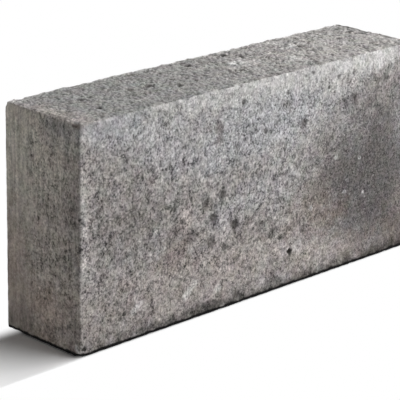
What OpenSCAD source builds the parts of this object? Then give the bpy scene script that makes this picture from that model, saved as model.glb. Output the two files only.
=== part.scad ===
// Solid dense concrete block, pressed in one piece and standing on its lower bed.
// The origin is the middle of the lower bed. X runs along the block, Y from the front
// face to the back face, and Z up to the upper bed.

/* [Block] */
// Length of the block, from end to end
block_length = 440; // [290:5:600]
// Thickness of the block, from face to face
block_thickness = 100; // [75:5:215]
// Height of the block, from bed to bed
block_height = 215; // [140:5:300]

/* [Arrises] */
// Radius of the four upright arrises, left by the corners of the mould
upright_radius = 2.5; // [1:0.5:10]
// Radius of the four arrises round the lower bed
lower_radius = 2; // [1:0.5:10]
// Radius of the four arrises round the upper bed, rounded a little by handling
upper_radius = 3; // [1:0.5:10]

/* [Corner chips] */
// Radius of the hollows that are broken out of the corners
corner_chip_radius = 22; // [14:1:40]
// Depth of the chip at the lower front corner of the left end
lower_chip_depth = 6; // [3:0.5:10]
// Depth of the chip at the upper front corner of the left end
upper_chip_depth = 4; // [3:0.5:10]

/* [Arris chip] */
// Radius of the hollow that is broken out of the upper back arris
arris_chip_radius = 10; // [6:1:20]
// Depth of that hollow at the arris
arris_chip_depth = 3; // [2:0.5:5]
// Distance from the left end to the middle of that hollow
arris_chip_place = 17; // [12:1:60]

/* [Hidden] */
$fn = 96;

// How far a cut runs past the surface that it cuts
overrun = 1;

left_end = -block_length / 2;
front_face = -block_thickness / 2;
back_face = block_thickness / 2;

// What is cut away to round a square corner at the origin that is filled towards +X and +Y
module corner_waste(radius) {
    difference() {
        translate([-overrun, -overrun]) square(radius + overrun);
        translate([radius, radius]) circle(radius);
    }
}

// The mould's outline, seen from above
module plan() {
    difference() {
        square([block_length, block_thickness], center = true);
        for (x_side = [0, 1], y_side = [0, 1])
            mirror([x_side, 0]) mirror([0, y_side])
                translate([left_end, front_face]) corner_waste(upright_radius);
    }
}

// What is cut away to round an arris that lies on the X axis and is filled towards +Y and +Z
module arris_waste(length, radius) {
    rotate([90, 0, 90])
        linear_extrude(length + 2 * overrun, center = true) corner_waste(radius);
}

// What is cut away to round the four arrises of a bed that faces down at the origin
module bed_waste(radius) {
    for (side = [0, 180]) {
        rotate(side) translate([0, front_face]) arris_waste(block_length, radius);
        rotate(side + 90) translate([0, left_end]) arris_waste(block_thickness, radius);
    }
}

// The hollow of a chip, as deep as depth at a place on an arris or a corner that faces outward
module chip(place, outward, radius, depth) {
    translate(place + outward / norm(outward) * (radius - depth)) sphere(radius);
}

// The chips that handling has left round the left end
module chips() {
    chip([left_end, front_face, 0], [-1, -1, -1], corner_chip_radius, lower_chip_depth);
    chip([left_end, front_face, block_height], [-1, -1, 1], corner_chip_radius, upper_chip_depth);
    chip([left_end + arris_chip_place, back_face, block_height], [0, 1, 1],
         arris_chip_radius, arris_chip_depth);
}

// The block, pressed to the mould's outline and rounded along both beds
module block() {
    color("#8c8884")
        difference() {
            linear_extrude(block_height) plan();
            bed_waste(lower_radius);
            translate([0, 0, block_height]) mirror([0, 0, 1]) bed_waste(upper_radius);
            chips();
        }
}

block();
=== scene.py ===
"""Solid dense concrete block, dressed for its picture.

The block is pressed from a cube: its arrises are rounded, its faces get the relief that the mould, the ram
and handling leave, and its concrete is made of nodes. Every length is in metres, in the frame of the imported
model: X runs along the block, Y from the front face to the back face, and Z up from the lower bed.
"""

import math

import bmesh
import bpy
from bpy.props import FloatProperty, FloatVectorProperty, PointerProperty
from bpy.types import Operator, Panel, PropertyGroup
from mathutils import Matrix, Vector, noise
from mathutils.kdtree import KDTree


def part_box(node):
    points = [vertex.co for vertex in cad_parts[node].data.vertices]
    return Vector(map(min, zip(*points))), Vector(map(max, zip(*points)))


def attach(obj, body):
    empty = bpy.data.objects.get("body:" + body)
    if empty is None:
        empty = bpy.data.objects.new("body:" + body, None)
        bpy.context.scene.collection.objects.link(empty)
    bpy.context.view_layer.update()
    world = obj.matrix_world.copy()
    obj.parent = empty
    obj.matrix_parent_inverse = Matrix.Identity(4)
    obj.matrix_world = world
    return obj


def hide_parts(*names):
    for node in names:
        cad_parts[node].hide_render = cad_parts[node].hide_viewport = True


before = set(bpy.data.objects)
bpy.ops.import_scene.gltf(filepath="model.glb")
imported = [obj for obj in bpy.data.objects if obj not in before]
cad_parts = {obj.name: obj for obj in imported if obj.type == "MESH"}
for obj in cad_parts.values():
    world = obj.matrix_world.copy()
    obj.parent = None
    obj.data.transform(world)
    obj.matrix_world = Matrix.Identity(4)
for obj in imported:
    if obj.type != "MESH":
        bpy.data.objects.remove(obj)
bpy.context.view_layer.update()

bl_info = {
    "name": "Solid Concrete Block",
    "version": (1, 0, 0),
    "blender": (4, 5, 0),
    "location": "View3D > Sidebar > Concrete",
    "description": "Presses a solid concrete block with worn arrises, and sets it on a studio floor",
    "category": "Object",
}

BLOCK_LOW, BLOCK_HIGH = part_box("block")
BLOCK_SIZE = BLOCK_HIGH - BLOCK_LOW
BLOCK_MIDDLE = (BLOCK_LOW + BLOCK_HIGH) / 2
LEFT_END = BLOCK_LOW.x
RIGHT_END = BLOCK_HIGH.x
FRONT_FACE = BLOCK_LOW.y
BACK_FACE = BLOCK_HIGH.y
UPPER_BED = BLOCK_HIGH.z


def length_setting(name, description, default):
    """A length that the user can change."""
    return FloatProperty(name=name, description=description, default=default, unit="LENGTH")


def power_setting(name, description, default):
    """A light's power that the user can change."""
    return FloatProperty(name=name, description=description, default=default, unit="POWER")


def colour_setting(name, description, default):
    """A colour that the user can change."""
    return FloatVectorProperty(name=name, description=description, default=default, subtype="COLOR")


class BlockSizes(PropertyGroup):
    """Sizes of the block's arrises and of the relief on its faces."""

    arris_radius: length_setting("Arris radius", "Radius of the rounded arrises", 0.0014)
    cells: FloatVectorProperty(
        name="Relief cells", description="Width along each axis of the cells that carry the relief",
        default=(0.00230, 0.00200, 0.00240), unit="LENGTH")
    sway: length_setting("Sway", "Depth of the broad waves in the pressed faces", 0.0004)
    drag: length_setting(
        "Drag marks", "Depth of the upright marks that the mould drags in the faces", 0.00025)
    open_grain: length_setting("Open grain", "Depth of the open grain of the upper bed", 0.0021)
    pit: length_setting("Pits", "Depth of the largest pits", 0.0014)
    wear: length_setting(
        "Arris wear", "Depth of the crumbs that are lost along the most worn arris", 0.0026)
    wear_reach: length_setting("Wear reach", "How far the wear reaches from an arris", 0.0060)


class BlockColours(PropertyGroup):
    """Colours of the concrete and of what has stained it."""

    paste: colour_setting("Cement paste", "Colour of the pressed face", (0.318, 0.298, 0.288))
    cool_paste: colour_setting(
        "Cool paste", "Colour of the cooler clouds in the face", (0.414, 0.413, 0.426))
    warm_paste: colour_setting(
        "Warm paste", "Colour of the warmer foot of the face", (0.353, 0.3175, 0.300))
    # Paler paste, also laid as a painted highlight along the left arrises
    pale_paste_and_highlight: colour_setting("Pale paste", "Colour of the paler, pinker clouds", (0.430, 0.390, 0.368))
    blush: colour_setting("Blush", "Colour of the pinkest patches", (0.490, 0.430, 0.412))
    earth: colour_setting("Earth", "Colour of the warm mottle", (0.220, 0.200, 0.190))
    olive: colour_setting("Olive", "Colour of the weathered ends", (0.360, 0.328, 0.298))
    pale_olive: colour_setting(
        "Pale olive", "Colour of the paler part of the left end", (0.480, 0.450, 0.398))
    bed: colour_setting("Bed", "Colour of the open grain of the beds", (0.306, 0.298, 0.290))
    pale_bed: colour_setting("Pale bed", "Colour of the paler part of the upper bed", (0.384, 0.365, 0.352))
    # Cooler bed, also painted shade at the top of the left end
    cool_bed_and_shade: colour_setting(
        "Cool bed", "Colour of the cooler part of the upper bed", (0.290, 0.288, 0.280))
    damp: colour_setting("Damp", "Colour of the smooth dark patches", (0.112, 0.104, 0.102))
    clay: colour_setting("Clay", "Colour of the brown foot of the ends", (0.352, 0.292, 0.255))
    iron: colour_setting("Iron stain", "Colour of the brown stains", (0.175, 0.145, 0.128))
    # Rust, also painted shade in the notch at the top of the left end
    rust_and_shade: colour_setting("Rust", "Colour of the rustiest stains", (0.150, 0.108, 0.090))
    # Pale lime, also laid along the arrises as a painted highlight
    bloom_and_highlight: colour_setting("Lime bloom", "Colour of the pale lime on the face", (0.565, 0.555, 0.546))
    # Dark colour laid on above the lower arris, and painted shade in the pits and blowholes
    dirt_and_shade: colour_setting(
        "Dirt", "Colour of the dirt above the lower arris and in the pits", (0.070, 0.064, 0.059))
    soot: colour_setting("Soot", "Colour of the small soft spots", (0.105, 0.098, 0.093))
    # Near-black painted shade: the contact shadow along the foot where the block stands, and two black
    # blowholes
    painted_black_shade: colour_setting("Seat", "Colour of the damp line that the block stands on", (0.005, 0.005, 0.005))
    grit: colour_setting("White grit", "Colour of the palest grains of sand", (0.700, 0.690, 0.680))


class StageLook(PropertyGroup):
    """Floor, light and camera."""

    floor: colour_setting(
        "Floor", "Colour of the floor as the camera sees it, white where it is lit", (1.22, 1.22, 1.22))
    bounce: colour_setting(
        "Floor bounce", "Colour of the light that the floor throws back on the block", (0.60, 0.60, 0.60))
    ambient: FloatProperty(
        name="Room light", description="Strength of the light from all round", default=0.08)
    key_power: power_setting("Key light", "Power of the large light before the block", 56.5)
    side_power: power_setting("Side light", "Power of the high light beyond the right end", 9.0)
    back_power: power_setting("Back light", "Power of the soft light on the back face", 12.0)
    card_power: power_setting("Card", "Power of the low reflector card before the left end", 2.15)
    lens: FloatProperty(
        name="Lens", description="Focal length of the camera", default=182.8, unit="CAMERA")
    distance: length_setting(
        "Camera distance", "Distance from the camera to its aim on the front face", 1.8436)


class BlockSettings(PropertyGroup):
    """All that a user would change on the block and its stage."""

    sizes: PointerProperty(type=BlockSizes)
    colours: PointerProperty(type=BlockColours)
    stage: PointerProperty(type=StageLook)


# Hollows that handling has broken out, the first three as in the solid model and the last a small nick
# beside the second: place on the arris, outward direction, radius of the hollow and its depth
CORNER_CHIP_RADIUS = 0.022
CHIPS = (
    (Vector((LEFT_END, FRONT_FACE, 0.0)), Vector((-1, -1, -1)), CORNER_CHIP_RADIUS, 0.006),
    (Vector((LEFT_END, FRONT_FACE, UPPER_BED)), Vector((-1, -1, 1)), CORNER_CHIP_RADIUS, 0.004),
    (Vector((LEFT_END + 0.017, BACK_FACE, UPPER_BED)), Vector((0, 1, 1)), 0.010, 0.003),
    (Vector((LEFT_END, FRONT_FACE + 0.006, UPPER_BED - 0.001)), Vector((-1, 0, 0.6)), 0.0055, 0.004),
)
CHIP_ROUGHNESS = 0.0009
CHIP_GRAIN = 0.0045

# Single blowholes in the front face: place along from the left end and up from the bed, radius, depth
FRONT_HOLES = (
    (0.293, 0.2080, 0.0030, 0.0012),
    (0.284, 0.2065, 0.0026, 0.0010),
    (0.330, 0.1980, 0.0028, 0.0012),
    (0.352, 0.1980, 0.0028, 0.0010),
    (0.344, 0.1975, 0.0022, 0.0010),
    (0.317, 0.1895, 0.0024, 0.0010),
    (0.340, 0.1720, 0.0026, 0.0010),
    (0.259, 0.1940, 0.0028, 0.0010),
    (0.200, 0.1965, 0.0030, 0.0012),
    (0.218, 0.1250, 0.0024, 0.0010),
    (0.152, 0.1355, 0.0022, 0.0010),
    (0.168, 0.1240, 0.0024, 0.0010),
    (0.262, 0.0750, 0.0026, 0.0010),
    (0.268, 0.035, 0.0038, 0.0032),
    (0.0054, 0.0078, 0.0023, 0.0034),
    (0.192, 0.080, 0.0065, 0.0014),
    (0.163, 0.093, 0.0060, 0.0012),
    (0.175, 0.113, 0.0060, 0.0012),
    (0.160, 0.070, 0.0060, 0.0010),
    (0.152, 0.108, 0.0050, 0.0010),
    (0.125, 0.098, 0.0040, 0.0010),
    (0.178, 0.060, 0.0045, 0.0010),
    (0.227, 0.072, 0.0040, 0.0010),
    (0.285, 0.052, 0.0035, 0.0012),
    (0.230, 0.163, 0.0040, 0.0010),
    (0.283, 0.162, 0.0040, 0.0010),
    (0.355, 0.173, 0.0045, 0.0010),
)
# The same in the upper bed: place along from the left end and across from the middle, radius, depth
BED_HOLES = (
    (0.133, 0.005, 0.0060, 0.0028),
    (0.055, 0.012, 0.0045, 0.0020),
    (0.110, 0.007, 0.0040, 0.0018),
    (0.155, -0.012, 0.0045, 0.0018),
    (0.050, -0.018, 0.0040, 0.0018),
    (0.208, 0.033, 0.0055, 0.0022),
    (0.260, 0.038, 0.0055, 0.0024),
    (0.235, -0.012, 0.0040, 0.0018),
    (0.272, 0.025, 0.0045, 0.0018),
    (0.345, 0.015, 0.0050, 0.0020),
    (0.425, 0.022, 0.0060, 0.0022),
)
# The same in the left end: place across from the middle and up from the bed, radius, depth
END_HOLES = (
    (-0.0130, 0.1950, 0.0035, 0.0010),
)
HOLE_RAGGEDNESS = 0.35
# How often the cells around a hole are halved, and how far out in radii
HOLE_HALVINGS = 2
HOLE_MARGIN = 1.3
# How much more painted shade the deepest hole gets than a pit
DEEPEST_HOLLOW = 1.6

# The lump of paste that still stands in the chip at the lower front corner of the left end
NIB = Vector((LEFT_END + 0.0032, FRONT_FACE + 0.0032, 0.0072))
NIB_RADIUS = 0.0052
NIB_HEIGHT = 0.0032

# The most worn corner, how round it is, and how far from it the rounding ends
WORN_CORNER = Vector((LEFT_END, BACK_FACE, UPPER_BED))
WORN_CORNER_RADIUS = 0.0045
WORN_CORNER_REACH = 0.012

# Width of the grains that stand out of the open bed, which way the strike-off drew them, and how far
BED_GRAIN = 0.0030
BED_DRAW = Vector((1, 1, 0)).normalized()
BED_DRAWN = 1.6

# How much of the full wear each kind of arris can lose
UPPER_LEFT_WEAR = 1.0
UPPER_WEAR = 0.70
LOWER_WEAR = 0.30
UPRIGHT_WEAR = 0.14
# The wear's mean, and the width and strength of its waves
WEAR_MEAN = 0.42
WEAR_WAVES = ((0.024, 0.40), (0.010, 0.45), (0.0042, 0.60))

# Pits: spacing of the cells that may hold one, and the share of the cells that do
BED_PITS = (0.0105, 0.36)
FACE_PITS = (0.0125, 0.16)
# Depth of the pits in the faces, and of all relief in the lower bed, as shares of the upper bed's
FACE_PIT_SHARE = 0.7
LOWER_BED_SHARE = 0.4
# Width of the broad waves in the faces
SWAY_WIDTH = 0.090
# Drag marks: width, stretch and strength of their waves
DRAG_WAVES = ((0.0048, 7.0, 0.35), (0.0062, 2.0, 0.35))
# How deep in the open grain a face without any counts as lying
NO_GRAIN = 0.5
# Spreads the cells of noise, so that each gets a chance of its own
CELL_SPREAD = 37.0

# What the mesh keeps for the finish: how deep in a pit and how worn each point is, how square it faces a
# bed and an end, how near an arris it is, and how deep in the open grain; from the depths the finish
# paints shade, and near the arrises a highlight
KEPT_VALUES = ("hollow", "wear", "bed", "end", "arris", "depth")

ARRIS_SEGMENTS = 3
# From here on a direction counts as one axis, and as mostly one axis
ON_AXIS = 0.99
NEAR_AXIS = 0.9


def cut_cells(shape, axis, cell):
    """Cuts the edges that run the block's whole way along an axis into steps of about one cell."""
    runs = []
    for edge in shape.edges:
        run = edge.verts[1].co - edge.verts[0].co
        if abs(run[axis]) > ON_AXIS * run.length and run.length > BLOCK_SIZE[axis] / 2:
            runs.append(edge)
    cuts = round(runs[0].calc_length() / cell) - 1
    bmesh.ops.subdivide_edges(shape, edges=runs, cuts=cuts, use_grid_fill=True)


def cut_around(shape, holes):
    """Halves the cells around some blowholes, so that their rims come out sharp."""
    shape.verts.ensure_lookup_table()
    points = KDTree(len(shape.verts))
    for index, vertex in enumerate(shape.verts):
        points.insert(vertex.co, index)
    points.balance()
    near = set()
    for middle, radius, depth in holes:
        found = points.find_range(middle, HOLE_MARGIN * radius)
        near.update(index for place, index, gap in found)
    shape.verts.index_update()
    edges = [edge for edge in shape.edges if near.issuperset(end.index for end in edge.verts)]
    bmesh.ops.subdivide_edges(shape, edges=edges, cuts=1, use_grid_fill=True)


def pressed_shape(sizes):
    """A cube of the block's size with rounded arrises, cut into cells fine enough for the relief."""
    shape = bmesh.new()
    bmesh.ops.create_cube(shape, size=1.0)
    bmesh.ops.scale(shape, vec=BLOCK_SIZE, verts=shape.verts)
    bmesh.ops.translate(shape, vec=BLOCK_MIDDLE, verts=shape.verts)
    bmesh.ops.bevel(
        shape, geom=shape.edges[:], offset=sizes.arris_radius, offset_type="OFFSET",
        segments=ARRIS_SEGMENTS, profile=0.5, affect="EDGES", material=-1)
    for axis, cell in enumerate(sizes.cells):
        cut_cells(shape, axis, cell)
    open_bed = [edge for edge in shape.edges if any(face.normal.z > ON_AXIS for face in edge.link_faces)]
    bmesh.ops.subdivide_edges(shape, edges=open_bed, cuts=1, use_grid_fill=True)
    front, end, bed = placed_holes()
    for halving in range(HOLE_HALVINGS):
        cut_around(shape, front + end)
    shape.normal_update()
    return shape


def ease(value, start, end):
    """0 before start, 1 after end, and a smooth rise between them."""
    step = min(max((value - start) / (end - start), 0.0), 1.0)
    return step * step * (3 - 2 * step)


def wave(place, width, stretch=1.0):
    """Smooth noise from -1 to 1 with waves of about a width, drawn out upright by a stretch."""
    return noise.noise(Vector((place.x, place.y, place.z / stretch)) / width)


def pit_hollow(place, spacing, share):
    """How deep a point lies in a pit, from 0 to 1, where a share of the cells of a spacing hold one pit."""
    distances, points = noise.voronoi(place / spacing)
    chance = 0.5 + 0.5 * noise.cell(points[0] * CELL_SPREAD)
    if chance > share:
        return 0.0
    radius = 0.18 + 0.16 * chance / share
    return 1 - ease(distances[0], 0.2 * radius, radius)


def arris_distances(place):
    """Distances from a point to the nearest faces across the length, the thickness and the height."""
    return [min(place[axis] - BLOCK_LOW[axis], BLOCK_HIGH[axis] - place[axis]) for axis in range(3)]


def arris_wear(place, sizes):
    """How much of the full wear an arris near a point has lost, from 0 to 1."""
    gaps = arris_distances(place)
    rim = sorted(gaps)[1]
    if rim > sizes.wear_reach:
        return 0.0
    upper = place.z > UPPER_BED / 2 and gaps[2] < sizes.wear_reach
    left = place.x < 0 and gaps[0] < sizes.wear_reach
    if upper and left:
        amount = UPPER_LEFT_WEAR
    elif upper:
        amount = UPPER_WEAR
    elif gaps[2] < sizes.wear_reach:
        amount = LOWER_WEAR
    else:
        amount = UPRIGHT_WEAR
    ragged = sum((strength * wave(place, width) for width, strength in WEAR_WAVES), WEAR_MEAN)
    return amount * min(max(ragged, 0.0), 1.0) * (1 - rim / sizes.wear_reach)


def blowhole(place, middle, radius, depth):
    """How far a point sinks into one ragged blowhole."""
    ragged = 1 + HOLE_RAGGEDNESS * wave(place, 0.6 * radius)
    return depth * (1 - ease((place - middle).length, 0.35 * radius * ragged, radius * ragged))


def placed_holes():
    """The blowholes of the front face, the left end and the upper bed: middle, radius and depth."""
    front = [(Vector((LEFT_END + along, FRONT_FACE, up)), *hole) for along, up, *hole in FRONT_HOLES]
    end = [(Vector((LEFT_END, across, up)), *hole) for across, up, *hole in END_HOLES]
    bed = [(Vector((LEFT_END + along, across, UPPER_BED)), *hole) for along, across, *hole in BED_HOLES]
    return front, end, bed


def hole_depth(place, outward, holes):
    """How far a point sinks into the blowholes of its face."""
    for of_face, facing in zip(holes, (-outward.y, -outward.x, outward.z)):
        if facing > ON_AXIS:
            return max(blowhole(place, *hole) for hole in of_face)
    return 0.0


def grain_depth(place):
    """How deep a point of the open bed lies under the tops of its grains, from 0 to 1."""
    place = place - BED_DRAW * place.dot(BED_DRAW) * (1 - 1 / BED_DRAWN)
    distances, points = noise.voronoi(place / BED_GRAIN)
    rise = 0.65 + 0.35 * noise.cell(points[0] * CELL_SPREAD)
    dome = rise * (1 - distances[0] ** 2 / 0.45)
    waves = 0.5 + 0.40 * wave(place, 0.0070) + 0.30 * wave(place, 0.0030)
    return min(max(0.55 * (1 - dome) + 0.45 * waves, 0.0), 1.0)


def face_relief(place, outward, sizes):
    """Depth of a face's relief at a point, and how deep it lies in a pit and in the grain, from 0 to 1."""
    sway = sizes.sway * (0.5 + 0.5 * wave(place, SWAY_WIDTH))
    if abs(outward.z) > NEAR_AXIS:
        depth = grain_depth(place)
        hollow = pit_hollow(place, *BED_PITS)
        share = 1.0 if outward.z > 0 else LOWER_BED_SHARE
        return share * (sway + sizes.open_grain * depth + sizes.pit * hollow), hollow, depth
    drag = sum((strength * wave(place, width, stretch) for width, stretch, strength in DRAG_WAVES), 0.5)
    hollow = pit_hollow(place, *FACE_PITS)
    relief = sway + sizes.drag * max(drag, 0.0) + FACE_PIT_SHARE * sizes.pit * hollow
    return relief, hollow, NO_GRAIN


def round_corner(place):
    """Moves a point near the most worn corner back to its rounding, which dies out along the arrises."""
    inward = Vector((1, -1, -1))
    away = place - WORN_CORNER
    radius = WORN_CORNER_RADIUS * (1 - ease(away.length, 0.2 * WORN_CORNER_REACH, WORN_CORNER_REACH))
    over = Vector([max(radius - inward[axis] * away[axis], 0.0) for axis in range(3)])
    if over.length <= radius or radius <= 0:
        return place
    back = over * (1 - radius / over.length)
    return place + Vector([inward[axis] * back[axis] for axis in range(3)])


def break_chip(place, corner, outward, radius, depth):
    """Moves a point that lies in a chip onto the rough bottom of the chip."""
    centre = corner + outward.normalized() * (radius - depth)
    from_centre = place - centre
    rough = radius + CHIP_ROUGHNESS * wave(place, CHIP_GRAIN)
    if from_centre.length < rough:
        return centre + from_centre.normalized() * rough
    return place


def nib_rise(place):
    """How far a point near the nib stands out of the chip, towards the left and the front."""
    rise = NIB_HEIGHT * (1 - ease((place - NIB).length, 0.4 * NIB_RADIUS, NIB_RADIUS))
    return Vector((-1, -1, 0)).normalized() * rise


def carve_relief(shape, sizes):
    """Sinks the points of the shape into its relief, wear and chips, and keeps what the finish reads."""
    layers = [shape.verts.layers.float.new(name) for name in KEPT_VALUES]
    holes = placed_holes()
    for vertex in shape.verts:
        place = vertex.co.copy()
        relief, hollow, depth = face_relief(place, vertex.normal, sizes)
        hole = hole_depth(place, vertex.normal, holes)
        hollow = max(hollow, min(hole / sizes.pit, DEEPEST_HOLLOW))
        wear = arris_wear(place, sizes)
        sunk = round_corner(place - vertex.normal * (relief + hole + sizes.wear * wear))
        for chip in CHIPS:
            sunk = break_chip(sunk, *chip)
        sunk += nib_rise(sunk)
        vertex.co = Vector([max(sunk[axis], BLOCK_LOW[axis]) for axis in range(3)])
        arris = max(0.0, 1 - sorted(arris_distances(place))[1] / sizes.wear_reach)
        kept = (hollow, wear, abs(vertex.normal.z), abs(vertex.normal.x), arris, depth)
        for layer, value in zip(layers, kept):
            vertex[layer] = value


class Value:
    """One socket of a finish, so that shader maths reads as plain arithmetic."""

    def __init__(self, finish, socket):
        self.finish = finish
        self.socket = socket

    def __add__(self, other):
        return self.finish.math("ADD", self, other)

    def __sub__(self, other):
        return self.finish.math("SUBTRACT", self, other)

    def __rsub__(self, other):
        return self.finish.math("SUBTRACT", other, self)

    def __mul__(self, other):
        return self.finish.math("MULTIPLY", self, other)

    def __truediv__(self, other):
        return self.finish.math("DIVIDE", self, other)

    __radd__ = __add__
    __rmul__ = __mul__


class Finish:
    """The nodes of one material or world."""

    def __init__(self, owner):
        owner.use_nodes = True
        self.tree = owner.node_tree
        self.tree.nodes.clear()

    def node(self, kind, settings=None, inputs=None, output=0):
        """Adds a node of a kind, sets it up, fills or links its sockets, and gives one of its outputs."""
        made = self.tree.nodes.new(kind)
        for name, setting in (settings or {}).items():
            setattr(made, name, setting)
        for name, given in (inputs or {}).items():
            if isinstance(given, Value):
                self.tree.links.new(given.socket, made.inputs[name])
            else:
                made.inputs[name].default_value = given
        return Value(self, made.outputs[output]) if made.outputs else None

    def math(self, operation, first, second):
        """A Math node."""
        return self.node("ShaderNodeMath", {"operation": operation}, {0: first, 1: second})

    def vector(self, operation, first, second, output="Vector"):
        """A Vector Math node."""
        other = "Scale" if operation == "SCALE" else 1
        inputs = {0: first, other: second}
        return self.node("ShaderNodeVectorMath", {"operation": operation}, inputs, output)

    def mix(self, factor, first, second, blend="MIX"):
        """A Mix node for colours."""
        settings = {"data_type": "RGBA", "blend_type": blend, "clamp_factor": True}
        return self.node("ShaderNodeMix", settings, {0: factor, 6: first, 7: second}, 2)

    def ease(self, value, start, end):
        """0 before start, 1 after end, and a smooth rise between them."""
        settings = {"interpolation_type": "SMOOTHSTEP"}
        inputs = {"Value": value, "From Min": start, "From Max": end}
        return self.node("ShaderNodeMapRange", settings, inputs)

    def cloud(self, place, width, detail=2.0):
        """Smooth noise, from about -1 to 1, with clouds of a width."""
        inputs = {"Vector": place, "Scale": 1 / width, "Detail": detail, "Roughness": 0.5}
        return (self.node("ShaderNodeTexNoise", None, inputs) - 0.5) * 4

    def cell_distance(self, place, spacing):
        """Distance from the middle of the nearest cell, in spacings."""
        return self.node("ShaderNodeTexVoronoi", None, {"Vector": place, "Scale": 1 / spacing}, "Distance")

    def cell_chance(self, place, spacing):
        """The nearest cell's own chance, from 0 to 1."""
        chance = self.node("ShaderNodeTexVoronoi", None, {"Vector": place, "Scale": 1 / spacing}, "Color")
        return self.node("ShaderNodeSeparateXYZ", None, {0: chance}, "X")

    def grains(self, place, width):
        """Ragged grains of a width, each of its own shade from -1 to 1."""
        inputs = {"Vector": place, "Scale": 1.2 / width, "Detail": 1.0}
        bend = self.node("ShaderNodeTexNoise", None, inputs, "Color")
        bend = self.vector("SUBTRACT", bend, (0.5, 0.5, 0.5))
        bend = self.vector("SCALE", bend, width)
        return self.cell_chance(self.vector("ADD", place, bend), width) * 2 - 1

    def spots(self, place, spacing, reach):
        """Round spots of many sizes, with a reach in spacings: 1 in their middles and 0 between them."""
        edge = 0.02 + reach * self.cell_chance(place, spacing)
        return 1 - self.ease(self.cell_distance(place, spacing), 0.0, edge)

    def pebbles(self, place, width):
        """Round grains of a width: 1 in their middles, and below 0 in the gaps between them."""
        return (0.47 - self.cell_distance(place, width)) * 2

    def single_grains(self, place, spacing, share, reach):
        """Hard round grains that a share of the cells of a spacing hold, with a reach in spacings."""
        held = self.math("LESS_THAN", self.cell_chance(place, spacing), share)
        return held * (1 - self.ease(self.cell_distance(place, spacing), 0.6 * reach, reach))

    def attribute(self, name):
        """One of the values that the mesh keeps for its points."""
        return self.node("ShaderNodeAttribute", {"attribute_name": name}, None, "Fac")


def colour(rgb):
    """A property's colour with the opacity that a colour socket needs."""
    return (*rgb, 1.0)


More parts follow.
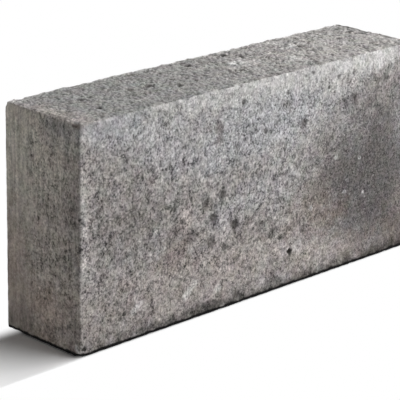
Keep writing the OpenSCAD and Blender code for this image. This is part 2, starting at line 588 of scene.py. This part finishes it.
# Stains on the front: place along from the left end and up from the bed, reach each way, colour and
# strength
FRONT_STAINS = (
    # Cool clouds across the upper middle, and the warm foot under them
    (0.235, 0.178, 0.110, 0.055, "cool_paste", 0.85),
    (0.145, 0.165, 0.060, 0.040, "cool_paste", 0.45),
    (0.330, 0.172, 0.060, 0.032, "cool_paste", 0.25),
    (0.215, 0.105, 0.030, 0.020, "cool_paste", 0.45),
    (0.268, 0.104, 0.058, 0.036, "cool_paste", 0.38),
    (0.185, 0.092, 0.032, 0.024, "cool_paste", 0.46),
    (0.220, 0.161, 0.028, 0.024, "cool_paste", 0.45),
    (0.150, 0.036, 0.220, 0.046, "warm_paste", 0.70),
    # Warm mottle near the left end, and the smooth cool corner over it
    (0.062, 0.108, 0.052, 0.050, "earth", 0.64),
    (0.118, 0.082, 0.026, 0.024, "earth", 0.45),
    (0.205, 0.080, 0.030, 0.018, "earth", 0.45),
    (0.035, 0.206, 0.062, 0.026, "cool_paste", 0.80),
    # The smooth damp patch towards the right end, with iron along its edge and a brown foot
    (0.312, 0.084, 0.060, 0.046, "iron", 0.45),
    (0.389, 0.088, 0.117, 0.096, "damp", 0.92),
    (0.398, 0.036, 0.066, 0.046, "damp", 0.55),
    (0.410, 0.164, 0.062, 0.045, "damp", 0.29),
    (0.426, 0.138, 0.020, 0.050, "cool_paste", 0.20),
    (0.335, 0.062, 0.024, 0.014, "rust_and_shade", 0.35),
    (0.295, 0.066, 0.050, 0.036, "clay", 0.22),
    (0.430, 0.024, 0.040, 0.046, "iron", 0.72),
    (0.425, 0.050, 0.034, 0.040, "damp", 0.40),
    (0.432, 0.058, 0.022, 0.030, "blush", 0.15),
    (0.262, 0.014, 0.034, 0.020, "earth", 0.28),
    (0.330, 0.020, 0.080, 0.024, "clay", 0.34),
    # Paler paste low down, a paler strip along the left arris that is partly paler paste and partly a painted
    # highlight, and iron at the left foot
    (0.292, 0.027, 0.052, 0.017, "pale_paste_and_highlight", 0.32),
    (0.172, 0.044, 0.032, 0.016, "pale_paste_and_highlight", 0.45),
    (0.045, 0.022, 0.060, 0.024, "iron", 0.26),
    # Partly a painted highlight: the paler strip along the left upright arris
    (0.003, 0.150, 0.014, 0.080, "pale_paste_and_highlight", 0.55),
    (0.003, 0.064, 0.012, 0.084, "pale_paste_and_highlight", 0.46),
    (0.003, 0.120, 0.010, 0.075, "bloom_and_highlight", 0.35),
    # Lime where more of it has run down, and in small flecks
    (0.338, 0.196, 0.045, 0.020, "bloom_and_highlight", 0.55),
    (0.180, 0.203, 0.032, 0.016, "bloom_and_highlight", 0.40),
    (0.262, 0.202, 0.030, 0.016, "bloom_and_highlight", 0.35),
    (0.129, 0.0250, 0.0050, 0.0050, "grit", 0.50),
    (0.134, 0.0300, 0.0055, 0.0055, "grit", 0.52),
    (0.140, 0.0350, 0.0055, 0.0050, "grit", 0.42),
    (0.064, 0.0275, 0.0042, 0.0040, "grit", 0.50),
    (0.0685, 0.0310, 0.0046, 0.0044, "grit", 0.58),
    (0.0735, 0.0340, 0.0040, 0.0036, "grit", 0.45),
    (0.171, 0.0225, 0.0060, 0.0045, "grit", 0.36),
    (0.090, 0.098, 0.004, 0.004, "grit", 0.32),
    # Pinker patches among the grey
    (0.129, 0.1005, 0.011, 0.015, "blush", 0.65),
    (0.112, 0.064, 0.030, 0.020, "blush", 0.22),
    (0.111, 0.069, 0.030, 0.024, "rust_and_shade", 0.31),
    # Small soft dark spots in the middle and at the upper right, and two black pits that are painted shade in
    # their blowholes
    (0.176, 0.114, 0.0065, 0.012, "soot", 0.56),
    (0.1525, 0.109, 0.0085, 0.012, "soot", 0.46),
    (0.163, 0.092, 0.0085, 0.008, "soot", 0.60),
    (0.1915, 0.079, 0.0070, 0.012, "soot", 0.60),
    (0.160, 0.068, 0.0095, 0.010, "soot", 0.55),
    (0.125, 0.0985, 0.005, 0.005, "soot", 0.55),
    (0.137, 0.082, 0.009, 0.009, "soot", 0.40),
    (0.120, 0.091, 0.008, 0.008, "soot", 0.35),
    (0.212, 0.079, 0.008, 0.006, "soot", 0.45),
    (0.2245, 0.0715, 0.006, 0.009, "soot", 0.50),
    (0.241, 0.060, 0.009, 0.0055, "soot", 0.50),
    (0.258, 0.0535, 0.006, 0.005, "soot", 0.45),
    (0.179, 0.060, 0.005, 0.009, "soot", 0.55),
    (0.204, 0.0605, 0.005, 0.004, "soot", 0.50),
    (0.1945, 0.0455, 0.005, 0.005, "soot", 0.50),
    # Painted shade: black in a blowhole low down, right of the middle
    (0.2695, 0.0342, 0.0032, 0.0048, "painted_black_shade", 0.85),
    (0.230, 0.163, 0.005, 0.005, "soot", 0.35),
    (0.283, 0.162, 0.007, 0.007, "soot", 0.45),
    (0.355, 0.173, 0.008, 0.008, "soot", 0.55),
    (0.372, 0.147, 0.008, 0.007, "soot", 0.50),
    (0.390, 0.158, 0.007, 0.006, "soot", 0.48),
    (0.374, 0.160, 0.008, 0.007, "soot", 0.48),
    (0.362, 0.156, 0.006, 0.006, "soot", 0.40),
    (0.343, 0.172, 0.006, 0.007, "soot", 0.42),
    (0.401, 0.189, 0.006, 0.006, "soot", 0.45),
    (0.346, 0.194, 0.006, 0.007, "soot", 0.48),
    (0.352, 0.200, 0.005, 0.005, "soot", 0.42),
    (0.261, 0.184, 0.005, 0.005, "soot", 0.42),
    (0.235, 0.161, 0.006, 0.005, "soot", 0.35),
    (0.200, 0.197, 0.005, 0.005, "soot", 0.36),
    # Painted shade: black in the blowhole beside the nib
    (0.0054, 0.0078, 0.0036, 0.0034, "painted_black_shade", 1.0),
    # White grit in the damp patch
    (0.297, 0.073, 0.0034, 0.0034, "grit", 0.55),
    (0.373, 0.072, 0.0032, 0.0038, "grit", 0.52),
    (0.366, 0.109, 0.0030, 0.0026, "grit", 0.55),
    (0.331, 0.117, 0.0030, 0.0036, "grit", 0.55),
    (0.345, 0.079, 0.0036, 0.0024, "grit", 0.50),
    # Darker along the foot left of the middle
    (0.100, 0.005, 0.028, 0.007, "soot", 0.36),
    (0.140, 0.006, 0.034, 0.008, "soot", 0.44),
    (0.182, 0.007, 0.028, 0.008, "soot", 0.44),
    # Brown drips under the upper arris
    (0.1690, 0.1790, 0.0080, 0.0095, "iron", 0.50),
    (0.1702, 0.1670, 0.0060, 0.0110, "iron", 0.44),
    (0.1663, 0.1896, 0.0048, 0.0055, "soot", 0.42),
    (0.1710, 0.1785, 0.0060, 0.0060, "soot", 0.36),
    (0.1700, 0.1690, 0.0042, 0.0070, "soot", 0.34),
)
# The same on the left end: place across from the middle and up from the bed, and the rest as before
LEFT_END_STAINS = (
    (0.040, 0.165, 0.046, 0.090, "pale_olive", 0.75),
    (0.030, 0.200, 0.034, 0.036, "pale_olive", 0.70),
    (-0.010, 0.165, 0.030, 0.040, "pale_olive", 0.40),
    (-0.046, 0.120, 0.026, 0.060, "earth", 0.50),
    (-0.050, 0.130, 0.014, 0.130, "earth", 0.35),
    # Painted shade: a darker, cooler top of the end near the front arris
    (-0.036, 0.205, 0.044, 0.024, "cool_bed_and_shade", 0.65),
    (0.045, 0.080, 0.030, 0.060, "clay", 0.60),
    (0.010, 0.022, 0.085, 0.044, "clay", 0.85),
    (-0.040, 0.012, 0.030, 0.040, "earth", 0.70),
    (0.028, 0.014, 0.044, 0.026, "earth", 0.45),
    # Painted shade in the notch at the top of the end beside the front arris
    (-0.0440, 0.2125, 0.0078, 0.0044, "rust_and_shade", 0.95),
    (-0.0438, 0.2118, 0.0058, 0.0028, "dirt_and_shade", 0.85),
    # Painted highlight: the pale rim of the nib in the lower chip
    (-0.0452, 0.0085, 0.0024, 0.0042, "grit", 0.55),
    (-0.0485, 0.0052, 0.0040, 0.0024, "grit", 0.55),
)
# The same on the back face, which the photo hides, placed as on the front
BACK_STAINS = (
    (0.130, 0.150, 0.120, 0.050, "cool_paste", 0.60),
    (0.300, 0.038, 0.200, 0.046, "warm_paste", 0.65),
    (0.330, 0.118, 0.060, 0.050, "earth", 0.45),
    (0.072, 0.072, 0.090, 0.070, "damp", 0.55),
    (0.150, 0.050, 0.045, 0.034, "iron", 0.35),
    (0.240, 0.085, 0.040, 0.030, "pale_paste_and_highlight", 0.40),
    (0.395, 0.024, 0.050, 0.030, "iron", 0.40),
    (0.180, 0.060, 0.008, 0.009, "soot", 0.50),
    (0.255, 0.110, 0.007, 0.010, "soot", 0.50),
    (0.271, 0.096, 0.008, 0.007, "soot", 0.45),
    (0.290, 0.150, 0.008, 0.007, "soot", 0.45),
    (0.370, 0.065, 0.007, 0.008, "soot", 0.50),
)
# The same on the right end, which the photo hides, placed as on the left end
RIGHT_END_STAINS = (
    (-0.030, 0.150, 0.040, 0.070, "pale_olive", 0.50),
    (0.036, 0.120, 0.030, 0.070, "earth", 0.45),
    (0.010, 0.026, 0.085, 0.044, "clay", 0.75),
    (-0.012, 0.085, 0.028, 0.034, "earth", 0.35),
)
# The same on the upper bed: place along from the left end and across from the middle, and the rest as
# before
BED_STAINS = (
    (0.090, 0.000, 0.110, 0.100, "cool_bed_and_shade", 0.80),
    (0.345, -0.005, 0.170, 0.100, "pale_bed", 0.85),
    # Partly a painted highlight: the pale left margin of the bed, where the rounded arris catches the light
    (0.004, -0.018, 0.029, 0.074, "pale_paste_and_highlight", 0.98),
    (0.180, -0.036, 0.026, 0.018, "cool_bed_and_shade", 0.55),
    (0.300, -0.038, 0.024, 0.014, "cool_bed_and_shade", 0.45),
    (0.100, 0.000, 0.024, 0.018, "pale_bed", 0.36),
    (0.262, 0.000, 0.024, 0.018, "bloom_and_highlight", 0.16),
    (0.380, 0.000, 0.024, 0.018, "bloom_and_highlight", 0.20),
    (0.248, 0.010, 0.014, 0.008, "grit", 0.85),
    (0.303, -0.012, 0.010, 0.013, "grit", 0.66),
    (0.333, 0.022, 0.018, 0.012, "bloom_and_highlight", 0.80),
    (0.334, 0.040, 0.010, 0.010, "bloom_and_highlight", 0.70),
    (0.010, 0.046, 0.016, 0.010, "grit", 0.62),
)

# How deep a stain soaks in, and how deep a spot, which is smaller, soaks into the hole it lies in
SOAK = 0.004
SPOT = 0.009
SPOT_SOAK = 0.007
# From which reach on a stain counts as broad, and how much less ragged its edge is then
BROAD = 0.060
BROAD_RAGGEDNESS = 0.6
# Where a stain starts to thin out and where it ends, in reaches
STAIN_EDGE = (0.25, 1.15)


def soak(reach):
    """How deep a stain of a reach soaks in."""
    return SPOT_SOAK if reach < SPOT else SOAK


def all_stains():
    """Every stain as its middle, its reach along X, Y and Z, its colour's name and its strength."""
    for along, up, reach, rise, stain, strength in FRONT_STAINS:
        yield (LEFT_END + along, FRONT_FACE, up), (reach, soak(reach), rise), stain, strength
    for across, up, reach, rise, stain, strength in LEFT_END_STAINS:
        yield (LEFT_END, across, up), (soak(reach), reach, rise), stain, strength
    for along, up, reach, rise, stain, strength in BACK_STAINS:
        yield (LEFT_END + along, BACK_FACE, up), (reach, soak(reach), rise), stain, strength
    for across, up, reach, rise, stain, strength in RIGHT_END_STAINS:
        yield (RIGHT_END, across, up), (soak(reach), reach, rise), stain, strength
    for along, across, reach, spread, stain, strength in BED_STAINS:
        yield (LEFT_END + along, across, UPPER_BED), (reach, spread, soak(reach)), stain, strength


# Parts of the front with a grain of their own: place along from the left end and up from the bed, reach
# each way
DAMP_PATCH = (0.388, 0.080, 0.125, 0.115)
COOL_CORNER = (0.030, 0.212, 0.060, 0.022)
CLEAR_CLOUD = (0.250, 0.178, 0.140, 0.050)
ROUGH_PATCH = (0.205, 0.110, 0.110, 0.070)
# How square to an axis a point faces where a bed or an end starts, and where it is full
SQUARE = (0.75, 0.95)
# Lime: heights between which it thins out, places along where it starts and where it is full, and how far
# it spills over the arris onto the bed
RUN_HEIGHTS = (0.188, 0.209)
RUN_START = (-0.165, -0.125)
RUN_FULL = (-0.08, 0.0)
RUN_SPILL = (0.0005, 0.0035)
# Darkening at the foot: heights between which it thins out, and places along where there is more of it
FOOT_DARKENING_HEIGHTS = (0.002, 0.017)
BEYOND_CORNER = (-0.20, -0.14)
TO_THE_RIGHT = (-0.10, -0.05)
# Heights between which the calmer foot and the painted contact shadow along the foot thin out
FOOT_HEIGHTS = (0.030, 0.070)
CONTACT_SHADE_HEIGHTS = (0.0028, 0.0046)
# Clouds of tint a metre, and how much of the tint shows
TINT_CLOUDS = 80.0
TINT_SHARE = 0.11
# Depth of the fine relief that is too small for the mesh
FINE_RELIEF = 0.0006
# How smooth a part can be at most, the mean shade of the speckle and its darkest shade
SMOOTHEST = 0.94
MEAN_SHADE = 1.12
DARKEST_SHADE = 0.20


class Concrete(Finish):
    """Pressed concrete: clouded paste, what has stained it, its speckle and its fine relief."""

    def __init__(self, owner, colours):
        super().__init__(owner)
        self.colours = colours
        self.place = self.node("ShaderNodeTexCoord", output="Object")
        self.along = self.node("ShaderNodeSeparateXYZ", None, {0: self.place}, "X")
        self.across = self.node("ShaderNodeSeparateXYZ", None, {0: self.place}, "Y")
        self.height = self.node("ShaderNodeSeparateXYZ", None, {0: self.place}, "Z")
        self.on_bed = self.ease(self.attribute("bed"), *SQUARE)
        self.on_end = self.ease(self.attribute("end"), *SQUARE)
        self.mottle = self.cloud(self.place, 0.016)
        self.clumps = self.cloud(self.place, 0.0060, 1.0)
        self.flecks = self.cloud(self.place, 0.0028, 1.0)
        self.ragged = 0.20 * self.mottle + 0.12 * self.clumps + 0.12 * self.flecks
        self.broad_ragged = self.ragged * BROAD_RAGGEDNESS

    def covered(self, tone, mask, cover):
        """A tone with a colour of the block laid over it where a mask is."""
        return self.mix(mask, tone, colour(cover))

    def stain_mask(self, middle, reach):
        """Where a stain lies, from 0 to 1, with a ragged edge."""
        from_middle = self.vector("SUBTRACT", self.place, middle)
        scaled = self.vector("DIVIDE", from_middle, reach)
        distance = self.vector("LENGTH", scaled, (0.0, 0.0, 0.0), "Value")
        ragged = self.broad_ragged if max(reach) > BROAD else self.ragged
        return 1 - self.ease(distance + ragged, *STAIN_EDGE)

    def front_mask(self, along, up, reach, rise):
        """Where a part of the front lies, from 0 to 1, with a ragged edge."""
        return self.stain_mask((LEFT_END + along, FRONT_FACE, up), (reach, SOAK, rise))

    def upright(self, share):
        """Places with their heights cut to a share, which draws clouds and grains out upright."""
        return self.vector("MULTIPLY", self.place, (1.0, 1.0, share))

    def stained_paste(self):
        """The paste of the faces, the ends and the beds, with every stain laid over it."""
        colours = self.colours
        broad = self.cloud(self.place, 0.075)
        tone = self.mix(self.ease(broad, -0.2, 1.6), colour(colours.paste), colour(colours.cool_paste))
        tone = self.covered(tone, self.on_end, colours.olive)
        tone = self.covered(tone, self.on_bed, colours.bed)
        for middle, reach, stain, strength in all_stains():
            tone = self.covered(tone, self.stain_mask(middle, reach) * strength, getattr(colours, stain))
        return tone

    def lime_run(self):
        """Where lime has run from the upper arris down the faces, from 0 to 1."""
        drip = self.cloud(self.upright(0.15), 0.0065, 1.0)
        run = self.ease(self.height + 0.005 * drip + 0.003 * self.mottle, *RUN_HEIGHTS)
        run = run * self.ease(self.along + 0.01 * self.mottle, *RUN_START)
        run = run * (0.55 + 0.45 * self.ease(self.along, *RUN_FULL))
        run = run * (0.65 + 0.45 * self.ease(self.mottle + 0.4 * self.clumps, -0.7, 0.5))
        inward = self.across - FRONT_FACE + 0.0022 * self.clumps + 0.0012 * self.flecks
        spill = 1 - self.ease(inward, *RUN_SPILL)
        return run * (1 - self.on_bed * (1 - spill)) * (1 - self.on_end)

    def worn_and_highlit(self, tone):
        """Paler paste along the arrises of the faces and the beds: partly paste that wear has paled, partly a
        painted highlight where the rounded arrises catch the light.
        """
        rubbed_and_highlit = self.attribute("arris") * (0.45 + 0.35 * self.clumps)
        crumbled_and_highlit = self.ease(self.attribute("wear"), 0.05, 0.6)
        # Partly painted highlight, partly wear: pale lime along the arrises and where wear has broken crumbs
        # away
        return self.covered(tone, (0.28 * rubbed_and_highlit + 0.20 * crumbled_and_highlit) * (1 - self.on_end), self.colours.bloom_and_highlight)

    def darker_foot(self, tone):
        """Darker towards the bottom, more so towards the right and on the ends."""
        ragged = 0.005 * self.mottle + 0.002 * self.clumps
        foot_darkening = 1 - self.ease(self.height + ragged, *FOOT_DARKENING_HEIGHTS)
        beyond_corner = self.ease(self.along, *BEYOND_CORNER)
        to_the_right = self.ease(self.along, *TO_THE_RIGHT)
        foot_darkening = foot_darkening * (0.20 + 0.30 * beyond_corner + 0.35 * to_the_right)
        foot_darkening = foot_darkening + 0.40 * self.on_end * foot_darkening
        return self.covered(tone, foot_darkening, self.colours.dirt_and_shade)

    def face_speckle(self, soft, smooth):
        """Fine grain of the faces, less where soft, with their pebbles and the painted shade of tiny pits,
        less where smooth.
        """
        dragged = self.upright(0.90)
        grain = self.cloud(dragged, 0.00145)
        crumbs = self.grains(dragged, 0.00155)
        pebbles = self.pebbles(dragged, 0.0036)
        lumps = self.cloud(dragged, 0.0032, 1.0)
        drags = self.cloud(self.upright(0.30), 0.0024, 1.0)
        # Painted shade of tiny pits and pinholes: small dark spots with no hole under them
        pore_shade = self.spots(dragged, 0.0046, 0.30)
        pinhole_shade = self.single_grains(dragged, 0.0070, 0.42, 0.13)
        fine = 0.46 * grain + 0.52 * crumbs - 0.76 * pinhole_shade
        coarse = 0.22 * pebbles + 0.20 * lumps + 0.18 * drags
        coarse = coarse + 0.32 * self.clumps + 0.28 * self.mottle - 0.66 * pore_shade
        relief = 0.4 * crumbs + 0.6 * pebbles
        rough = self.front_mask(*ROUGH_PATCH)
        return fine * (1 - soft) + coarse * (1 - smooth) * (1 + 0.18 * rough), relief

    def bed_speckle(self):
        """Grains of the open beds, with painted shade in the gaps between them."""
        reach = self.vector("DOT_PRODUCT", self.place, BED_DRAW, "Value") * (1 - 1 / BED_DRAWN)
        drawn = self.node("ShaderNodeCombineXYZ", None, {"X": reach * BED_DRAW.x, "Y": reach * BED_DRAW.y})
        drawn = self.vector("SUBTRACT", self.place, drawn)
        grain = self.cloud(drawn, 0.0015)
        crumbs = self.grains(drawn, 0.0016)
        clumps = self.cloud(drawn, 0.0046, 1.0)
        mottle = self.cloud(drawn, 0.0120)
        # Painted shade of tiny pits in the open bed
        pore_shade = self.spots(drawn, 0.0065, 0.30)
        rough = 0.70 + 0.45 * self.ease(self.along, -0.13, 0.05)
        coarse = 0.33 * clumps + 0.26 * mottle - 0.65 * pore_shade
        # The last term is painted shade, darker the deeper a point lies in the open grain
        return 0.32 * grain + 0.40 * crumbs + rough * coarse + 0.75 * (0.775 - self.attribute("depth"))

    def calm(self, damp, run):
        """Where the faces are soft, with less fine grain, and where smooth, with less coarse grain."""
        corner = self.front_mask(*COOL_CORNER)
        clear = self.front_mask(*CLEAR_CLOUD)
        back_of_end = self.on_end * self.ease(self.across, 0.0, 0.030)
        foot = 1 - self.ease(self.height, *FOOT_HEIGHTS)
        soft = 0.50 * run + 0.35 * corner + 0.22 * self.on_end + 0.35 * back_of_end + 0.12 * foot
        smooth = 0.90 * damp + 0.22 * clear + 0.60 * run + 0.45 * corner
        smooth = smooth + 0.08 * self.on_end + 0.45 * back_of_end + 0.08 * foot
        return soft, self.math("MINIMUM", smooth, SMOOTHEST)

    def finished(self):
        """Lays all the layers over each other and links them to the surface."""
        damp = self.front_mask(*DAMP_PATCH)
        run = self.lime_run()
        tone = self.covered(self.stained_paste(), run, self.colours.bloom_and_highlight)
        tone = self.darker_foot(self.worn_and_highlit(tone))
        speckle, relief = self.face_speckle(*self.calm(damp, run))
        streaks = self.cloud(self.upright(0.07), 0.0036)
        speckle = speckle + (0.32 * self.on_end + 0.22 * run) * streaks
        shade = MEAN_SHADE + speckle * (1 - self.on_bed) + self.bed_speckle() * self.on_bed
        shade = self.math("MAXIMUM", shade, DARKEST_SHADE)
        tone = self.mix(1.0, tone, shade, "MULTIPLY")
        inputs = {"Vector": self.place, "Scale": TINT_CLOUDS, "Detail": 2.0}
        tint = self.node("ShaderNodeTexNoise", None, inputs, "Color")
        tone = self.mix(TINT_SHARE, tone, tint, "SOFT_LIGHT")
        grit = self.single_grains(self.place, 0.0060, 0.16, 0.22)
        tone = self.covered(tone, grit * (0.10 + 0.22 * damp) * (1 - self.on_bed), self.colours.grit)
        # Painted shade in the pits and blowholes: darker the deeper they are, and less on the ends
        tone = self.covered(tone, self.attribute("hollow") * (0.60 - 0.25 * self.on_end), self.colours.dirt_and_shade)
        # Painted contact shadow: near black along the foot, where the block meets the floor
        painted_black_shade = 1 - self.ease(self.height + 0.0008 * self.clumps, *CONTACT_SHADE_HEIGHTS)
        tone = self.covered(tone, painted_black_shade, self.colours.painted_black_shade)
        inputs = {"Strength": 0.5, "Distance": FINE_RELIEF, "Height": relief}
        bumped = self.node("ShaderNodeBump", None, inputs, "Normal")
        inputs = {"Base Color": tone, "Roughness": 0.9, "Normal": bumped, "Specular IOR Level": 0.12}
        shader = self.node("ShaderNodeBsdfPrincipled", None, inputs)
        self.node("ShaderNodeOutputMaterial", None, {"Surface": shader})


def concrete(colours):
    """The material of the whole block."""
    material = bpy.data.materials.new("pressed_concrete")
    Concrete(material, colours).finished()
    return material


class CONCRETE_OT_block(Operator):
    """Press the block, with its relief, wear and chips, and give it its concrete"""

    bl_idname = "concrete.block"
    bl_label = "Press the Block"

    def execute(self, context):
        settings = context.scene.concrete_block
        shape = pressed_shape(settings.sizes)
        carve_relief(shape, settings.sizes)
        for face in shape.faces:
            face.smooth = True
        mesh = bpy.data.meshes.new("concrete_block")
        shape.to_mesh(mesh)
        shape.free()
        mesh.materials.append(concrete(settings.colours))
        block = bpy.data.objects.new("concrete_block", mesh)
        context.collection.objects.link(block)
        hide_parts("block")
        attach(block, "root")
        return {"FINISHED"}


FLOOR_WIDTH = 14.0
# How far from the block the floor starts to fade into white and where it is white: on all sides, and
# sooner behind the back face and before the front face
FADE = (0.02, 0.17)
FADE_BEHIND = (-0.022, 0.001)
FADE_BEFORE = (-0.003, 0.002)

# Panels of light: name, place, width, and whether they light the floor as well as the block
PANELS = (
    ("key", Vector((1.30, -1.45, 1.30)), 2.4, True),
    ("side", Vector((1.15, -0.16, 1.25)), 0.8, True),
    ("card", Vector((-1.20, 0.15, 0.25)), 0.5, False),
    ("back", Vector((0.10, 1.90, 0.60)), 1.0, False),
)

# Where the camera looks, and how it is turned from the +Y axis, tipped down and rolled
CAMERA_AIM = Vector((-0.0748, FRONT_FACE, 0.115))
CAMERA_AZIMUTH = math.radians(45.05)
CAMERA_PITCH = math.radians(18.57)
CAMERA_ROLL = math.radians(1.06)
SENSOR_WIDTH = 36.0


def shown_to_viewer(finish):
    """1 for what the camera sees, straight or in a reflection, and 0 for the light on the block."""
    shown = finish.node("ShaderNodeLightPath", output="Is Camera Ray")
    for way in ("Is Glossy Ray", "Is Transmission Ray"):
        shown = finish.math("MAXIMUM", shown, finish.node("ShaderNodeLightPath", output=way))
    return shown


def studio_floor(look):
    """Pale floor that keeps the block's shadow and fades into white further out."""
    material = bpy.data.materials.new("studio_floor")
    finish = Finish(material)
    place = finish.node("ShaderNodeTexCoord", output="Object")
    outside = finish.vector("ABSOLUTE", place, (0.0, 0.0, 0.0))
    outside = finish.vector("SUBTRACT", outside, BLOCK_SIZE / 2)
    outside = finish.vector("MAXIMUM", outside, (0.0, 0.0, 0.0))
    distance = finish.vector("LENGTH", outside, (0.0, 0.0, 0.0), "Value")
    fade = finish.ease(distance, *FADE)
    across = finish.node("ShaderNodeSeparateXYZ", None, {0: place}, "Y")
    fade = finish.math("MAXIMUM", fade, finish.ease(across - BACK_FACE, *FADE_BEHIND))
    fade = finish.math("MAXIMUM", fade, finish.ease(FRONT_FACE - across, *FADE_BEFORE))
    shown = shown_to_viewer(finish)
    white = shown * fade
    pale = finish.mix(shown, colour(look.bounce), colour(look.floor))
    lit = finish.node("ShaderNodeBsdfDiffuse", None, {"Color": pale})
    plain = finish.node("ShaderNodeEmission", None, {"Color": (1.0, 1.0, 1.0, 1.0), "Strength": 1.0})
    surface = finish.node("ShaderNodeMixShader", None, {0: white, 1: lit, 2: plain})
    finish.node("ShaderNodeOutputMaterial", None, {"Surface": surface})
    return material


def add_floor(context, look):
    """The floor under the block."""
    shape = bmesh.new()
    bmesh.ops.create_grid(shape, x_segments=1, y_segments=1, size=FLOOR_WIDTH / 2)
    mesh = bpy.data.meshes.new("studio_floor")
    shape.to_mesh(mesh)
    shape.free()
    mesh.materials.append(studio_floor(look))
    floor = bpy.data.objects.new("studio_floor", mesh)
    context.collection.objects.link(floor)


def add_room_light(context, look):
    """White all round for the camera, and a lower even light on the block."""
    world = bpy.data.worlds.new("studio_room")
    context.scene.world = world
    finish = Finish(world)
    strength = look.ambient + (1 - look.ambient) * shown_to_viewer(finish)
    room = finish.node("ShaderNodeBackground", None, {"Color": (1.0, 1.0, 1.0, 1.0), "Strength": strength})
    finish.node("ShaderNodeOutputWorld", None, {"Surface": room})


def add_panel_light(context, name, place, width, power):
    """A square panel of light that faces the middle of the block."""
    lamp = bpy.data.lights.new(name, "AREA")
    lamp.shape = "SQUARE"
    lamp.size = width
    lamp.energy = power
    panel = bpy.data.objects.new(name, lamp)
    panel.location = place
    panel.rotation_euler = (BLOCK_MIDDLE - place).to_track_quat("-Z", "Y").to_euler()
    panel.visible_camera = False
    context.collection.objects.link(panel)
    return panel


def keep_off_floor(panel, block):
    """Lets a panel light the block alone, so that it doesn't fill the shadow on the floor."""
    lit = bpy.data.collections.new(panel.name + "_lit")
    lit.objects.link(block)
    panel.light_linking.receiver_collection = lit


def add_camera(context, look):
    """The camera at the photograph's angle."""
    lens = bpy.data.cameras.new("studio_camera")
    lens.lens = look.lens
    lens.sensor_width = SENSOR_WIDTH
    camera = bpy.data.objects.new("studio_camera", lens)
    turn = Matrix.Rotation(-CAMERA_AZIMUTH, 4, "Z")
    tip = Matrix.Rotation(math.pi / 2 - CAMERA_PITCH, 4, "X")
    roll = Matrix.Rotation(CAMERA_ROLL, 4, "Z")
    back = Matrix.Translation((0.0, 0.0, look.distance))
    camera.matrix_world = Matrix.Translation(CAMERA_AIM) @ turn @ tip @ roll @ back
    context.collection.objects.link(camera)
    context.scene.camera = camera


class CONCRETE_OT_stage(Operator):
    """Set the floor, the lights and the camera"""

    bl_idname = "concrete.stage"
    bl_label = "Set the Stage"

    def execute(self, context):
        look = context.scene.concrete_block.stage
        add_floor(context, look)
        add_room_light(context, look)
        for name, place, width, on_floor in PANELS:
            power = getattr(look, name + "_power")
            panel = add_panel_light(context, name + "_light", place, width, power)
            if not on_floor:
                keep_off_floor(panel, bpy.data.objects["concrete_block"])
        add_camera(context, look)
        context.scene.view_settings.view_transform = "Standard"
        return {"FINISHED"}


class CONCRETE_PT_panel(Panel):
    """Lists the steps that make the block and its stage"""

    bl_idname = "CONCRETE_PT_panel"
    bl_label = "Concrete Block"
    bl_space_type = "VIEW_3D"
    bl_region_type = "UI"
    bl_category = "Concrete"

    def draw(self, context):
        layout = self.layout
        settings = context.scene.concrete_block
        for group, step in (("sizes", None), ("colours", "concrete.block"), ("stage", "concrete.stage")):
            column = layout.column()
            owner = getattr(settings, group)
            for name in owner.__annotations__:
                column.prop(owner, name)
            if step:
                layout.operator(step)


CLASSES = (
    BlockSizes,
    BlockColours,
    StageLook,
    BlockSettings,
    CONCRETE_OT_block,
    CONCRETE_OT_stage,
    CONCRETE_PT_panel,
)


def register():
    """Registers the classes and gives every scene the block's settings."""
    for each in CLASSES:
        bpy.utils.register_class(each)
    bpy.types.Scene.concrete_block = PointerProperty(type=BlockSettings)


def unregister():
    """Takes back what register did."""
    del bpy.types.Scene.concrete_block
    for each in reversed(CLASSES):
        bpy.utils.unregister_class(each)


def main():
    """Makes the block and its stage."""
    register()
    bpy.ops.concrete.block()
    bpy.ops.concrete.stage()


if __name__ == "__main__":
    main()
